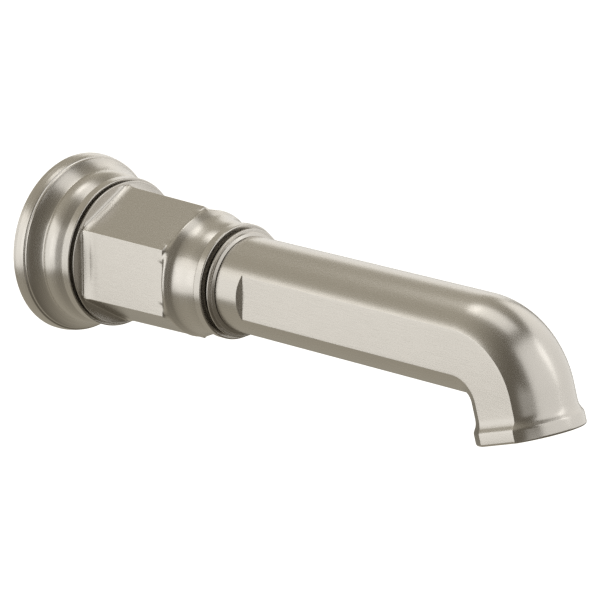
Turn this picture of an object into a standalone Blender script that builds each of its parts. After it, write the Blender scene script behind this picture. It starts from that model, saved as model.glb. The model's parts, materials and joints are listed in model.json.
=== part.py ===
"""Wall mounted bath spout: flange, hexagonal body, round arm with flats, and a pull-down diverter.

The wall is the plane Y = 0 and the spout points along -Y, so a distance out from the wall is
called `out` here and equals -Y. Z is up. The origin is the centre of the flange on the wall.
Constants are millimetres; M turns them into metres.
"""

from math import acos, cos, pi, radians, sin, sqrt

import bmesh
import bpy
from mathutils import Matrix, Vector

M = 0.001

# Wall flange
FLANGE_R = 35.0
FLANGE_OUT = 24.3
FLANGE_BORE_R = 20.4

# Hexagonal body
SPIGOT_R = 20.0
DISC_BACK, DISC_FRONT, DISC_R = 25.6, 27.3, 28.0
HEX_BACK, HEX_FRONT = 29.2, 68.55
HEX_BACK_APOTHEM, HEX_FRONT_APOTHEM = 23.05, 22.3
BODY_FRONT, COLLAR_R = 88.0, 21.95
BODY_BORE_R, NIPPLE_THREAD_R = 16.4, 13.2
HEX_POINTS = 48

# Arm
ARM_R, ARM_FLAT = 18.15, 16.2
ARM_START, ARM_FLAT_START = 92.15, 104.4
NECK_R, NECK_BACK = 16.5, 82.2
BEND_START, BEND_R, BEND_ANGLE = 206.0, 20.0, 73.0
OUTLET_LENGTH = 14.9
WATERWAY_R = 13.3
LIP_FLARE = 1.6

# Diverter, measured up the outlet's axis from its rim
BUSHING_R = 13.0
SEAT_TOP = 11.2
PLUG_R = 8.6
WASHER_LOW = 16.2
STEM_R = 1.5

# Set screw
SCREW_OUT, SCREW_R, SCREW_HOLE_R = 34.0, 2.4, 2.7
SCREW_ANGLE = -60.0


def clear_scene():
    for item in list(bpy.data.objects):
        bpy.data.objects.remove(item, do_unlink=True)


def new_collection(name):
    collection = bpy.data.collections.new(name)
    bpy.context.scene.collection.children.link(collection)
    return collection


def material(name, colour, roughness, metallic):
    made = bpy.data.materials.new(name)
    made.use_nodes = True
    shader = made.node_tree.nodes["Principled BSDF"]
    shader.inputs["Base Color"].default_value = (*colour, 1.0)
    shader.inputs["Roughness"].default_value = roughness
    shader.inputs["Metallic"].default_value = metallic
    made.diffuse_color = (*colour, 1.0)
    return made


def add_object(name, data, finish, parent=None):
    item = bpy.data.objects.new(name, data)
    SPOUT.objects.link(item)
    if finish:
        data.materials.append(finish)
    item.parent = parent
    return item


def turned(name, profile, finish, parent, steps=32):
    """A closed (radius, height) loop, outer side first from top to bottom, turned about local Z."""
    mesh = bpy.data.meshes.new(name)
    points = [(r * M, 0.0, h * M) for r, h in profile]
    edges = [(i, (i + 1) % len(points)) for i in range(len(points))]
    if profile[0][0] == 0.0 and profile[-1][0] == 0.0:
        edges.pop()
    mesh.from_pydata(points, edges, [])
    item = add_object(name, mesh, finish, parent)
    screw = item.modifiers.new("Turn", "SCREW")
    screw.axis = "Z"
    screw.steps = screw.render_steps = steps
    screw.use_merge_vertices = True
    screw.merge_threshold = 0.0001
    return item


def ring_seal(name, centre_r, section_r, height, finish, parent):
    """A round-section ring seal about the parent's Z axis."""
    bpy.ops.mesh.primitive_torus_add(
        major_radius=centre_r * M, minor_radius=section_r * M, major_segments=32, minor_segments=8
    )
    item = bpy.context.object
    item.name = item.data.name = name
    for collection in list(item.users_collection):
        collection.objects.unlink(item)
    SPOUT.objects.link(item)
    item.data.materials.append(finish)
    item.parent = parent
    item.location = (0.0, 0.0, height * M)
    return item


def loft(name, rings, finish, parent=None):
    """Skins a closed loop of point rings, so the first ring joins the last."""
    mesh = bpy.data.meshes.new(name)
    shape = bmesh.new()
    made = [[shape.verts.new(Vector(point) * M) for point in ring] for ring in rings]
    count = len(rings[0])
    for ring, following in zip(made, made[1:] + made[:1]):
        for i in range(count):
            j = (i + 1) % count
            shape.faces.new((ring[i], ring[j], following[j], following[i]))
    bmesh.ops.recalc_face_normals(shape, faces=shape.faces)
    if shape.calc_volume(signed=True) < 0:
        bmesh.ops.reverse_faces(shape, faces=shape.faces)
    shape.to_mesh(mesh)
    shape.free()
    return add_object(name, mesh, finish, parent)


def cutter(name, shape, parent=None):
    """A hidden solid for a Boolean, made from a filled bmesh."""
    mesh = bpy.data.meshes.new(name)
    bmesh.ops.recalc_face_normals(shape, faces=shape.faces)
    shape.to_mesh(mesh)
    shape.free()
    item = bpy.data.objects.new(name, mesh)
    CUTTERS.objects.link(item)
    item.parent = parent
    item.hide_render = True
    item.display_type = "WIRE"
    return item


def cylinder_shape(radius, low, high, segments=24):
    shape = bmesh.new()
    bmesh.ops.create_cone(
        shape, cap_ends=True, segments=segments, radius1=radius * M, radius2=radius * M,
        depth=(high - low) * M, matrix=Matrix.Translation((0.0, 0.0, 0.5 * (high + low) * M)),
    )
    return shape


def cut(item, tool):
    boolean = item.modifiers.new("Cut " + tool.name, "BOOLEAN")
    boolean.operation = "DIFFERENCE"
    boolean.solver = "EXACT"
    boolean.object = tool


def join_with(item, tool):
    boolean = item.modifiers.new("Join " + tool.name, "BOOLEAN")
    boolean.operation = "UNION"
    boolean.solver = "EXACT"
    boolean.object = tool


# ---------------------------------------------------------------- wall flange


def make_flange(axis):
    outer = [
        (28.6, FLANGE_OUT), (29.0, 23.9), (29.0, 20.9), (28.65, 20.6), (28.95, 19.0), (29.5, 17.0),
        (29.95, 15.0), (30.15, 13.2), (30.1, 11.6), (29.95, 10.2), (30.05, 8.8), (30.45, 7.3),
        (31.2, 5.8), (32.1, 4.6), (33.6, 4.3), (34.3, 3.9), (34.6, 3.3), (FLANGE_R, 0.0),
    ]
    inner = [
        (32.3, 0.0), (32.3, 1.7), (28.9, 1.7), (28.2, 6.0), (27.4, 10.0), (26.6, 20.2),
        (25.8, 21.0), (FLANGE_BORE_R, 21.0), (FLANGE_BORE_R, FLANGE_OUT),
    ]
    turned("wall_flange", outer + inner, NICKEL, axis, steps=56)
    turned("wall_gasket", [(32.0, 1.4), (32.0, 0.0), (29.2, 0.0), (29.2, 1.4)], RUBBER, axis)
    turned("reveal_washer", [(26.4, 25.3), (26.4, 24.6), (21.0, 24.6), (21.0, 25.3)], RUBBER, axis)
    ring_seal("flange_ring_seal", 19.45, 0.72, 22.6, RUBBER, axis)


# ------------------------------------------------------------- hexagonal body


def hexagon_radius(apothem, angle):
    """Radius at an angle of a hexagon with upright faces at both sides."""
    return apothem / cos((angle + pi / 6) % (pi / 3) - pi / 6)


def body_ring(out, radius_at):
    ring = []
    for i in range(HEX_POINTS):
        angle = 2 * pi * i / HEX_POINTS
        radius = radius_at(angle)
        ring.append((radius * cos(angle), -out, radius * sin(angle)))
    return ring


def make_body():
    def round_ring(out, radius):
        return body_ring(out, lambda angle: radius)

    rings = [
        round_ring(out, radius)
        for out, radius in (
            (14.0, 19.6), (14.4, SPIGOT_R), (21.7, SPIGOT_R), (21.7, 18.6), (23.5, 18.6),
            (23.5, SPIGOT_R), (DISC_BACK, SPIGOT_R), (DISC_BACK, 27.6), (26.0, DISC_R),
            (26.9, DISC_R), (DISC_FRONT, 27.6),
        )
    ]
    for out, flare in ((DISC_FRONT + 0.02, 1.9), (27.55, 0.9), (28.2, 0.3), (HEX_BACK, 0.0)):
        rings.append(
            body_ring(out, lambda a: min(hexagon_radius(HEX_BACK_APOTHEM, a) + flare, 27.45))
        )
    rings.append(body_ring(HEX_FRONT, lambda a: hexagon_radius(HEX_FRONT_APOTHEM, a)))
    for out, round_share, radius in (
        (69.2, 0.35, 24.3), (70.0, 0.65, 24.4), (71.0, 0.85, 24.15), (72.4, 0.95, 23.5),
    ):
        rings.append(
            body_ring(
                out,
                lambda a: hexagon_radius(HEX_FRONT_APOTHEM, a) * (1 - round_share)
                + radius * round_share,
            )
        )
    rings += [
        round_ring(out, radius)
        for out, radius in (
            (74.0, 22.75), (76.0, 22.2), (78.0, 21.85), (80.5, 21.5), (82.6, 21.1), (84.2, 20.6),
            (84.35, 21.6),
            (84.8, COLLAR_R), (87.5, COLLAR_R), (BODY_FRONT, 21.4), (BODY_FRONT, 16.8),
            (80.0, 16.8), (80.0, NIPPLE_THREAD_R), (60.0, NIPPLE_THREAD_R), (57.0, BODY_BORE_R),
            (14.6, BODY_BORE_R), (14.0, 17.0),
        )
    ]
    body = loft("hex_body", rings, NICKEL)
    hole = cutter("set_screw_hole", cylinder_shape(SCREW_HOLE_R, 12.0, 30.0))
    place_on_screw_axis(hole)
    cut(body, hole)


def place_on_screw_axis(item):
    """Points the item's Z along the set screw, out through the lower face on the far side."""
    item.location = (0.0, -SCREW_OUT * M, 0.0)
    item.rotation_euler = (0.0, radians(90.0 - SCREW_ANGLE), 0.0)


def make_set_screw():
    profile = [(0.0, 21.2), (2.1, 21.2), (SCREW_R, 20.9), (SCREW_R, 17.0), (0.9, 15.1), (0.0, 15.1)]
    screw = turned("set_screw", profile, STEEL, None, steps=20)
    place_on_screw_axis(screw)
    socket = cutter("set_screw_socket", cylinder_shape(1.4, 18.6, 22.0, 6))
    place_on_screw_axis(socket)
    cut(screw, socket)


# ------------------------------------------------------ supply adapter inside


def make_supply(axis):
    sleeve = [
        (15.7, 56.0), (16.1, 55.6), (16.1, 51.2), (14.2, 51.2), (14.2, 49.0), (16.1, 49.0),
        (16.1, 45.2), (14.2, 45.2), (14.2, 43.0), (16.1, 43.0), (16.1, 36.2), (14.8, 35.0),
        (14.8, 33.0), (16.1, 31.8), (16.1, 13.4), (16.1, 4.0), (10.6, 4.0), (10.1, 5.0),
        (10.1, 24.0), (7.5, 26.0), (7.5, 56.0),
    ]
    adapter = turned("supply_adapter", sleeve, BRASS, axis)
    nut = bmesh.new()
    bmesh.ops.create_cone(
        nut, cap_ends=True, segments=6, radius1=19.0 * M, radius2=19.0 * M, depth=9.0 * M,
        matrix=Matrix.Translation((0.0, 0.0, 8.9 * M)),
    )
    head = cutter("adapter_head", nut, axis)
    join_with(adapter, head)
    bore = cutter("adapter_head_bore", cylinder_shape(10.1, 3.0, 20.0, 32), axis)
    cut(adapter, bore)
    ring_seal("adapter_ring_seal_rear", 15.22, 0.92, 44.1, RUBBER, axis)
    ring_seal("adapter_ring_seal_front", 15.22, 0.92, 50.1, RUBBER, axis)
    nipple = [
        (12.5, 99.0), (12.9, 98.6), (12.9, 63.4), (12.5, 63.0), (9.5, 63.0), (9.5, 99.0),
    ]
    turned("arm_nipple", nipple, BRASS, axis)
    ring_seal("neck_face_seal", 14.85, 0.9, 81.1, RUBBER, axis)


# ------------------------------------------------------------------------ arm


def section_angles():
    """Angles round the arm, with points on the edges of the flats."""
    edge = acos(ARM_FLAT / ARM_R)
    flat = [edge * (-1 + 2 * i / 6) for i in range(6)]
    crown = [edge + (pi - 2 * edge) * i / 16 for i in range(16)]
    half = flat + crown
    return half + [angle + pi for angle in half]


ANGLES = section_angles()


def arm_ring(along, radius, flat, angle=0.0):
    """One ring across the arm. `along` runs down the centre line; past the bend's start it turns."""
    turn = radians(BEND_ANGLE)
    past = along - BEND_START
    if past <= 0.0:
        centre, tilt = (along, 0.0), 0.0
    elif past <= BEND_R * turn:
        tilt = past / BEND_R
        centre = (BEND_START + BEND_R * sin(tilt), -BEND_R * (1 - cos(tilt)))
    else:
        tilt, run = turn, past - BEND_R * turn
        centre = (
            BEND_START + BEND_R * sin(turn) + run * cos(turn),
            -BEND_R * (1 - cos(turn)) - run * sin(turn),
        )
    ring = []
    for theta in ANGLES:
        across = max(-flat, min(flat, radius * cos(theta)))
        up = radius * sin(theta)
        ring.append((across, -(centre[0] + up * sin(tilt)), centre[1] + up * cos(tilt)))
    return ring


def make_arm(axis):
    arc = BEND_R * radians(BEND_ANGLE)
    end = BEND_START + arc + OUTLET_LENGTH
    full = ARM_R + 1.0
    step = ARM_R - ARM_FLAT
    rings = [
        arm_ring(NECK_BACK, NECK_R - 0.3, full), arm_ring(NECK_BACK + 0.3, NECK_R, full),
        arm_ring(ARM_START - 0.02, NECK_R, full), arm_ring(ARM_START, ARM_R - 0.3, full),
        arm_ring(ARM_START + 0.3, ARM_R, full), arm_ring(ARM_FLAT_START - 1.4, ARM_R, full),
    ]
    for share in (0.35, 0.7, 1.0):
        rings.append(
            arm_ring(ARM_FLAT_START - 1.4 * (1 - share), ARM_R, ARM_R - step * share)
        )
    for i in range(11):
        rings.append(arm_ring(BEND_START + arc * i / 10, ARM_R, ARM_FLAT))
    for up, flare in (
        (9.0, 0.0), (7.8, 0.1), (6.6, 0.45), (5.6, 1.0), (4.7, 1.45), (4.2, LIP_FLARE),
        (0.9, LIP_FLARE), (0.3, 1.35), (0.0, 0.8),
    ):
        rings.append(arm_ring(end - up, ARM_R + flare, ARM_FLAT + flare))
    rings += [arm_ring(end, 14.3, full), arm_ring(end - 0.9, WATERWAY_R, full)]
    rings.append(arm_ring(end - OUTLET_LENGTH, WATERWAY_R, full))
    for i in range(1, 10):
        rings.append(arm_ring(BEND_START + arc * (1 - i / 9), WATERWAY_R, full))
    rings.append(arm_ring(NECK_BACK, WATERWAY_R, full))
    loft("spout_arm", rings, NICKEL)
    collar = [
        (17.6, 91.85), (18.6, 91.75), (19.2, 91.3), (19.5, 90.9), (20.3, 90.8), (20.6, 90.5),
        (20.6, 90.2), (20.4, 90.0), (16.8, 90.0), (16.8, 91.85),
    ]
    turned("arm_collar", collar, NICKEL, axis, steps=48)
    neck_ring = [(19.0, 89.7), (19.0, 88.3), (16.8, 88.3), (16.8, 89.7)]
    turned("neck_spacer_ring", neck_ring, RUBBER, axis)


def outlet_frame():
    """An empty at the centre of the outlet's rim, its Z pointing up the outlet's axis."""
    turn = radians(BEND_ANGLE)
    out = BEND_START + BEND_R * sin(turn) + OUTLET_LENGTH * cos(turn)
    height = -BEND_R * (1 - cos(turn)) - OUTLET_LENGTH * sin(turn)
    empty = bpy.data.objects.new("outlet_axis", None)
    SPOUT.objects.link(empty)
    empty.location = (0.0, -out * M, height * M)
    empty.rotation_euler = (radians(BEND_ANGLE - 90.0), 0.0, 0.0)
    return empty


# ------------------------------------------------------------------- diverter


def spoke_shape(inner, outer, low, high, width, count=3):
    """Flat bars from a hub to a rim."""
    shape = bmesh.new()
    for i in range(count):
        bar = Matrix.Rotation(2 * pi * i / count, 4, "Z") @ Matrix.Translation(
            (0.5 * (inner + outer) * M, 0.0, 0.5 * (low + high) * M)
        )
        bmesh.ops.create_cube(
            shape, size=1.0,
            matrix=bar @ Matrix.Diagonal(((outer - inner) * M, width * M, (high - low) * M, 1.0)),
        )
    return shape


def make_diverter(outlet):
    bushing = [
        (12.7, SEAT_TOP), (BUSHING_R, 10.9), (BUSHING_R, 10.3), (11.9, 10.3), (11.9, 8.5),
        (BUSHING_R, 8.5), (BUSHING_R, 1.4), (12.7, 1.1), (10.9, 1.1), (10.6, 1.4), (10.6, 8.2),
        (7.0, 8.2), (7.0, SEAT_TOP),
    ]
    turned("outlet_bushing", bushing, BRASS, outlet)
    ring_seal("outlet_ring_seal", 12.55, 0.6, 9.4, RUBBER, outlet)
    guide = turned(
        "stem_guide", [(10.3, 7.9), (10.3, 6.4), (9.0, 6.4), (9.0, 7.9)], ACETAL, outlet, steps=24
    )
    hub = cutter("stem_guide_hub", cylinder_shape(3.2, 6.4, 7.9), outlet)
    spokes = cutter("stem_guide_spokes", spoke_shape(2.0, 9.6, 6.4, 7.9, 1.8), outlet)
    hole = cutter("stem_guide_hole", cylinder_shape(STEM_R + 0.3, 5.0, 9.5), outlet)
    join_with(guide, hub)
    join_with(guide, spokes)
    cut(guide, hole)

    ring = [
        (10.0, 5.4), (10.2, 5.2), (10.2, 0.5), (9.9, 0.2), (8.9, 0.2), (8.5, 0.6), (8.5, 1.6),
        (8.1, 2.2), (8.1, 5.4),
    ]
    pull = turned("pull_ring", ring, NICKEL, outlet, steps=24)
    pull_hub = cutter("pull_ring_hub", cylinder_shape(3.0, 3.4, 5.4), outlet)
    pull_spokes = cutter("pull_ring_spokes", spoke_shape(2.0, 9.0, 3.4, 5.4, 1.6), outlet)
    pull_hole = cutter("pull_ring_hole", cylinder_shape(1.2, 2.5, 6.5), outlet)
    join_with(pull, pull_hub)
    join_with(pull, pull_spokes)
    cut(pull, pull_hole)

    stem = [
        (0.0, 22.0), (1.1, 22.0), (1.3, 21.7), (1.3, 20.0), (STEM_R, 19.9), (STEM_R, 5.7),
        (0.9, 5.7), (0.9, 3.4), (0.0, 3.4),
    ]
    turned("diverter_stem", stem, STEEL, outlet, steps=20)
    plug = [
        (8.0, 19.6), (PLUG_R, 19.0), (PLUG_R, 17.2), (1.8, 17.2), (1.8, 19.6),
    ]
    turned("diverter_plug", plug, BRASS, outlet)
    washer = [(PLUG_R, 17.0), (PLUG_R, WASHER_LOW), (5.0, WASHER_LOW), (5.0, 17.0)]
    turned("plug_washer", washer, RUBBER, outlet)
    nut = turned(
        "plug_nut", [(3.0, 21.6), (3.0, 19.9), (1.6, 19.9), (1.6, 21.6)], STEEL, outlet, steps=6
    )
    nut.rotation_euler = (0.0, 0.0, radians(15.0))
    make_spring(outlet)


def make_spring(outlet):
    """A compression spring between the stem guide and the plug, with flattened end coils."""
    turns, points_per_turn, coil_r, wire_r = 6.0, 14, 3.9, 0.32
    low, high = 8.45, 16.75
    total = int(turns * points_per_turn)
    curve = bpy.data.curves.new("return_spring", "CURVE")
    curve.dimensions = "3D"
    curve.bevel_depth = wire_r * M
    curve.bevel_resolution = 1
    curve.use_fill_caps = True
    curve.resolution_u = 1
    spline = curve.splines.new("POLY")
    spline.points.add(total)
    for i in range(total + 1):
        share = i / total
        eased = min(1.0, max(0.0, (share * turns - 0.9) / (turns - 1.8)))
        settle = 0.72 * (min(share * turns, 0.9) + max(share * turns - (turns - 0.9), 0.0))
        height = low + settle + (high - low - 2 * 0.72 * 0.9) * eased
        angle = 2 * pi * turns * share
        spline.points[i].co = (coil_r * cos(angle) * M, coil_r * sin(angle) * M, height * M, 1.0)
    add_object("return_spring", curve, STEEL, outlet)


clear_scene()
SPOUT = new_collection("bath_spout")
CUTTERS = new_collection("cutters")
NICKEL = material("satin_nickel", (0.62, 0.59, 0.54), 0.3, 1.0)
BRASS = material("brass", (0.72, 0.53, 0.26), 0.35, 1.0)
STEEL = material("stainless_steel", (0.6, 0.6, 0.6), 0.3, 1.0)
RUBBER = material("black_rubber", (0.02, 0.02, 0.02), 0.8, 0.0)
ACETAL = material("white_acetal", (0.85, 0.84, 0.8), 0.5, 0.0)

SPOUT_AXIS = bpy.data.objects.new("spout_axis", None)
SPOUT.objects.link(SPOUT_AXIS)
SPOUT_AXIS.rotation_euler = (radians(90.0), 0.0, 0.0)

make_flange(SPOUT_AXIS)
make_body()
make_set_screw()
make_supply(SPOUT_AXIS)
make_arm(SPOUT_AXIS)
make_diverter(outlet_frame())
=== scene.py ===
"""Looks of a wall mounted bath spout in satin nickel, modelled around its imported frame.

The wall is the plane Y = 0 and the spout points along -Y. Sizes are millimetres, measured in two
local frames whose Z is a turning axis: the spout's, with Z out from the wall, and the outlet's, with
Z up the outlet from its rim. MM turns them into metres.
"""

from __future__ import annotations

import json
import logging
from dataclasses import dataclass
from enum import Enum
from math import atan2, ceil, cos, pi, radians, sin, sqrt, tan
from typing import Callable, Sequence

import bmesh
import bpy
from mathutils import Matrix, Vector

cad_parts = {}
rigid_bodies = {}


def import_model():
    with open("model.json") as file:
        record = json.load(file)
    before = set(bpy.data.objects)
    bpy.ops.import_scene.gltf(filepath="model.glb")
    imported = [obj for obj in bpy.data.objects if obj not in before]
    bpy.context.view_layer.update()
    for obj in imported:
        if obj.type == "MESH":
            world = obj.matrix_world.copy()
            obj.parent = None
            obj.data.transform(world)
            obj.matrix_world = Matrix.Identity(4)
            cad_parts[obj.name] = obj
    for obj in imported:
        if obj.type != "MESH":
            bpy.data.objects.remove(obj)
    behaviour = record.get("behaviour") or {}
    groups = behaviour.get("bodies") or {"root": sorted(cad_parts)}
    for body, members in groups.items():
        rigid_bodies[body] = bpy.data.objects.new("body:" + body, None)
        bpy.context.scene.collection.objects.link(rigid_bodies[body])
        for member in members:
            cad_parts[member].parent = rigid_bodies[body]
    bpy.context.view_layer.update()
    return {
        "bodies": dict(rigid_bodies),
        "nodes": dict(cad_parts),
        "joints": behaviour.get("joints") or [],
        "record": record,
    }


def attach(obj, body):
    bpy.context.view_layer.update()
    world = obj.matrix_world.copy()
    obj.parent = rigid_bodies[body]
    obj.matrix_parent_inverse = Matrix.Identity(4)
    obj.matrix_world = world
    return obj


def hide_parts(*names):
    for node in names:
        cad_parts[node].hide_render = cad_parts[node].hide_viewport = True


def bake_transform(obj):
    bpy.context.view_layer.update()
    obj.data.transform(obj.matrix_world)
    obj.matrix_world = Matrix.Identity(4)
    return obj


LOG = logging.getLogger("bath_spout")
MM = 0.001
SUPPORT = 0.04
MOST_REACH = 0.46
MERGED = 0.0005
ARC_STEP = radians(9.0)

Row = Callable[[float], tuple[float, float]]


class Body(str, Enum):
    """The two rigid bodies of the spout."""

    SPOUT = "spout"
    DIVERTER = "diverter"


class Slot(str, Enum):
    """The record's material slots."""

    NICKEL = "nickel"
    BRASS = "brass"
    STEEL = "steel"
    RUBBER = "rubber"
    ACETAL = "acetal"


class Grain(Enum):
    """How the tool or brush marks of a finish run."""

    ALONG_SPOUT = "along the spout"
    AROUND_SPOUT = "around the spout's axis"
    AROUND_OUTLET = "around the outlet's axis"
    FINE = "no direction"


# ------------------------------------------------------------------ finishes


def feed(tree: bpy.types.NodeTree, node: bpy.types.Node, inputs: dict[str | int, object]) -> None:
    """Feeds a node's inputs, from another node's output or with a value.

    Args:
        tree: The node tree.
        node: The node.
        inputs: What goes into each named or numbered input.
    """
    for name, source in inputs.items():
        if isinstance(source, bpy.types.NodeSocket):
            tree.links.new(source, node.inputs[name])
        else:
            node.inputs[name].default_value = source


def wired(tree: bpy.types.NodeTree, kind: str, inputs: dict[str | int, object],
          **settings: str) -> bpy.types.Node:
    """Adds a node and feeds it.

    Args:
        tree: The node tree.
        kind: The node's type.
        inputs: What goes into each input, as for feed.
        settings: The node's own settings, made before its inputs are fed.

    Returns:
        The node.
    """
    made = tree.nodes.new(kind)
    for name, value in settings.items():
        setattr(made, name, value)
    feed(tree, made, inputs)
    return made


@dataclass(frozen=True)
class Finish:
    """A procedural metal, rubber or plastic finish with grain in its gloss and relief."""

    name: str
    colour: tuple[float, float, float]
    roughness: float
    metallic: float
    grain: Grain
    slot: Slot
    grain_width: float = 0.22
    grain_length: float = 6.0
    gloss_spread: float = 0.03
    relief: float = 0.0003
    tone_spread: float = 0.015

    def material(self) -> bpy.types.Material:
        """Makes this finish, or finds it if it was made before.

        Returns:
            The node material.
        """
        found = bpy.data.materials.get(self.name)
        if found:
            return found
        made = bpy.data.materials.new(self.name)
        made.use_nodes = True
        made.diffuse_color = (*self.colour, 1.0)
        tree = made.node_tree
        streaks = self._noise(tree, self._grain_place(tree), 1.0, 3.0)
        bump = wired(tree, "ShaderNodeBump", {
            "Strength": 0.6, "Distance": self.relief * MM, "Height": streaks,
        })
        feed(tree, tree.nodes["Principled BSDF"], {
            "Metallic": self.metallic, "Roughness": self._gloss(tree, streaks),
            "Normal": bump.outputs["Normal"], "Base Color": self._toned_colour(tree),
        })
        return made

    def _grain_place(self, tree: bpy.types.NodeTree) -> bpy.types.NodeSocket:
        """Stretches the object's coordinates along the grain.

        Args:
            tree: The material's nodes.

        Returns:
            The socket with the stretched coordinates.
        """
        place = tree.nodes.new("ShaderNodeTexCoord").outputs["Object"]
        if self.grain in (Grain.AROUND_SPOUT, Grain.AROUND_OUTLET):
            place = self._place_round_axis(tree, place)
        fine, long = 1.0 / (self.grain_width * MM), 1.0 / (self.grain_length * MM)
        scale = (fine, fine if self.grain is Grain.FINE else long, fine)
        stretch = wired(tree, "ShaderNodeMapping", {"Scale": scale, "Vector": place})
        return stretch.outputs["Vector"]

    def _place_round_axis(self, tree: bpy.types.NodeTree,
                          place: bpy.types.NodeSocket) -> bpy.types.NodeSocket:
        """Turns a place into its distance from the turning axis, its X and its height there.

        Args:
            tree: The material's nodes.
            place: The object's coordinates.

        Returns:
            The socket with those three.
        """
        frame = Frames.spout() if self.grain is Grain.AROUND_SPOUT else Frames.outlet()
        upright = wired(tree, "ShaderNodeMapping", {
            "Location": frame.to_translation(), "Rotation": frame.to_euler(), "Vector": place,
        }, vector_type="TEXTURE")
        split = wired(tree, "ShaderNodeSeparateXYZ", {"Vector": upright.outputs["Vector"]})
        x, y, z = split.outputs
        across = wired(tree, "ShaderNodeCombineXYZ", {"X": x, "Y": y})
        length = wired(tree, "ShaderNodeVectorMath", {0: across.outputs["Vector"]},
                       operation="LENGTH")
        joined = wired(tree, "ShaderNodeCombineXYZ", {"X": length.outputs["Value"], "Y": x, "Z": z})
        return joined.outputs["Vector"]

    @staticmethod
    def _noise(tree: bpy.types.NodeTree, place: bpy.types.NodeSocket, scale: float,
               detail: float) -> bpy.types.NodeSocket:
        """Adds a noise pattern.

        Args:
            tree: The material's nodes.
            place: The coordinates it is read at.
            scale: Its scale.
            detail: Its number of octaves.

        Returns:
            The pattern's value, from 0 to 1.
        """
        noise = wired(tree, "ShaderNodeTexNoise", {
            "Scale": scale, "Detail": detail, "Vector": place,
        })
        return noise.outputs["Fac"]

    def _gloss(self, tree: bpy.types.NodeTree,
               pattern: bpy.types.NodeSocket) -> bpy.types.NodeSocket:
        """Spreads the roughness with a pattern.

        Args:
            tree: The material's nodes.
            pattern: The pattern's value, from 0 to 1.

        Returns:
            The roughness.
        """
        ranged = wired(tree, "ShaderNodeMapRange", {
            "From Min": 0.25, "From Max": 0.75, "To Min": self.roughness - self.gloss_spread,
            "To Max": self.roughness + self.gloss_spread, "Value": pattern,
        })
        return ranged.outputs["Result"]

    def _toned_colour(self, tree: bpy.types.NodeTree) -> bpy.types.NodeSocket:
        """Lets the colour drift a little over the piece, as plating does.

        Args:
            tree: The material's nodes.

        Returns:
            The colour's socket.
        """
        place = tree.nodes.new("ShaderNodeTexCoord").outputs["Object"]
        drift = self._noise(tree, place, 45.0, 2.0)
        low, high = 1.0 - self.tone_spread, 1.0 + self.tone_spread
        mix = wired(tree, "ShaderNodeMix", {
            "A": (*(channel * low for channel in self.colour), 1.0),
            "B": (*(min(1.0, channel * high) for channel in self.colour), 1.0),
            "Factor": drift,
        }, data_type="RGBA")
        return mix.outputs["Result"]


NICKEL_COLOUR = (0.645, 0.618, 0.575)
BRASS_COLOUR = (0.74, 0.55, 0.28)
STEEL_COLOUR = (0.62, 0.62, 0.61)
NICKEL_ALONG = Finish("satin_nickel_drawn", NICKEL_COLOUR, 0.27, 1.0, Grain.ALONG_SPOUT, Slot.NICKEL)
NICKEL_TURNED = Finish("satin_nickel_turned", NICKEL_COLOUR, 0.27, 1.0, Grain.AROUND_SPOUT,
                       Slot.NICKEL)
NICKEL_OUTLET = Finish("satin_nickel_outlet", NICKEL_COLOUR, 0.3, 1.0, Grain.AROUND_OUTLET,
                       Slot.NICKEL)
BRASS_TURNED = Finish("turned_brass", BRASS_COLOUR, 0.32, 1.0, Grain.AROUND_SPOUT, Slot.BRASS,
                      relief=0.004, tone_spread=0.06)
BRASS_OUTLET = Finish("turned_brass_outlet", BRASS_COLOUR, 0.32, 1.0, Grain.AROUND_OUTLET,
                      Slot.BRASS, relief=0.004, tone_spread=0.06)
STEEL_BRIGHT = Finish("bright_stainless", STEEL_COLOUR, 0.25, 1.0, Grain.AROUND_OUTLET, Slot.STEEL)
# A dark grey rubber that paints the shade of the reveal gaps between flange, body and arm collar.
RUBBER_PAINTED_GAP_SHADE = Finish("rubber_painted_gap_shade", (0.19, 0.175, 0.15), 0.34, 0.0, Grain.FINE, Slot.RUBBER,
                      grain_width=0.5, relief=0.01, tone_spread=0.15)
STEEL_BLACKED = Finish("screw_steel", (0.32, 0.32, 0.33), 0.35, 1.0, Grain.FINE, Slot.STEEL)
RUBBER_BLACK = Finish("moulded_rubber", (0.018, 0.017, 0.016), 0.62, 0.0, Grain.FINE, Slot.RUBBER,
                      grain_width=0.5, relief=0.02, tone_spread=0.15)
ACETAL_WHITE = Finish("moulded_acetal", (0.84, 0.83, 0.79), 0.42, 0.0, Grain.FINE, Slot.ACETAL,
                      grain_width=0.8, relief=0.006)


# -------------------------------------------------------------------- frames


class Frames:
    """The two turning axes. The outlet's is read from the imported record's outlet rim."""

    _outlet = Matrix.Identity(4)

    @classmethod
    def read(cls, record: dict) -> None:
        """Finds the outlet's axis.

        Args:
            record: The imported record.
        """
        rim = next(mount for mount in record["mounts"] if mount["name"] == "outlet_rim")
        _, y, z = rim["pos_m"]
        _, out, down = rim["axis"]
        cls._outlet = Matrix.Translation((0.0, y, z)) @ Matrix.Rotation(atan2(out, -down), 4, "X")

    @classmethod
    def spout(cls) -> Matrix:
        """Z out from the wall along the spout, from the centre of the flange's back."""
        return Matrix.Rotation(radians(90.0), 4, "X")

    @classmethod
    def outlet(cls) -> Matrix:
        """Z up the outlet from the centre of its rim."""
        return cls._outlet


# -------------------------------------------------------------- modelling aids


@dataclass(frozen=True)
class Corner:
    """A corner of a turned outline: radius, height on the axis, and how far it is rounded."""

    radius: float
    height: float
    rounding: float = 0.0


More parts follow.
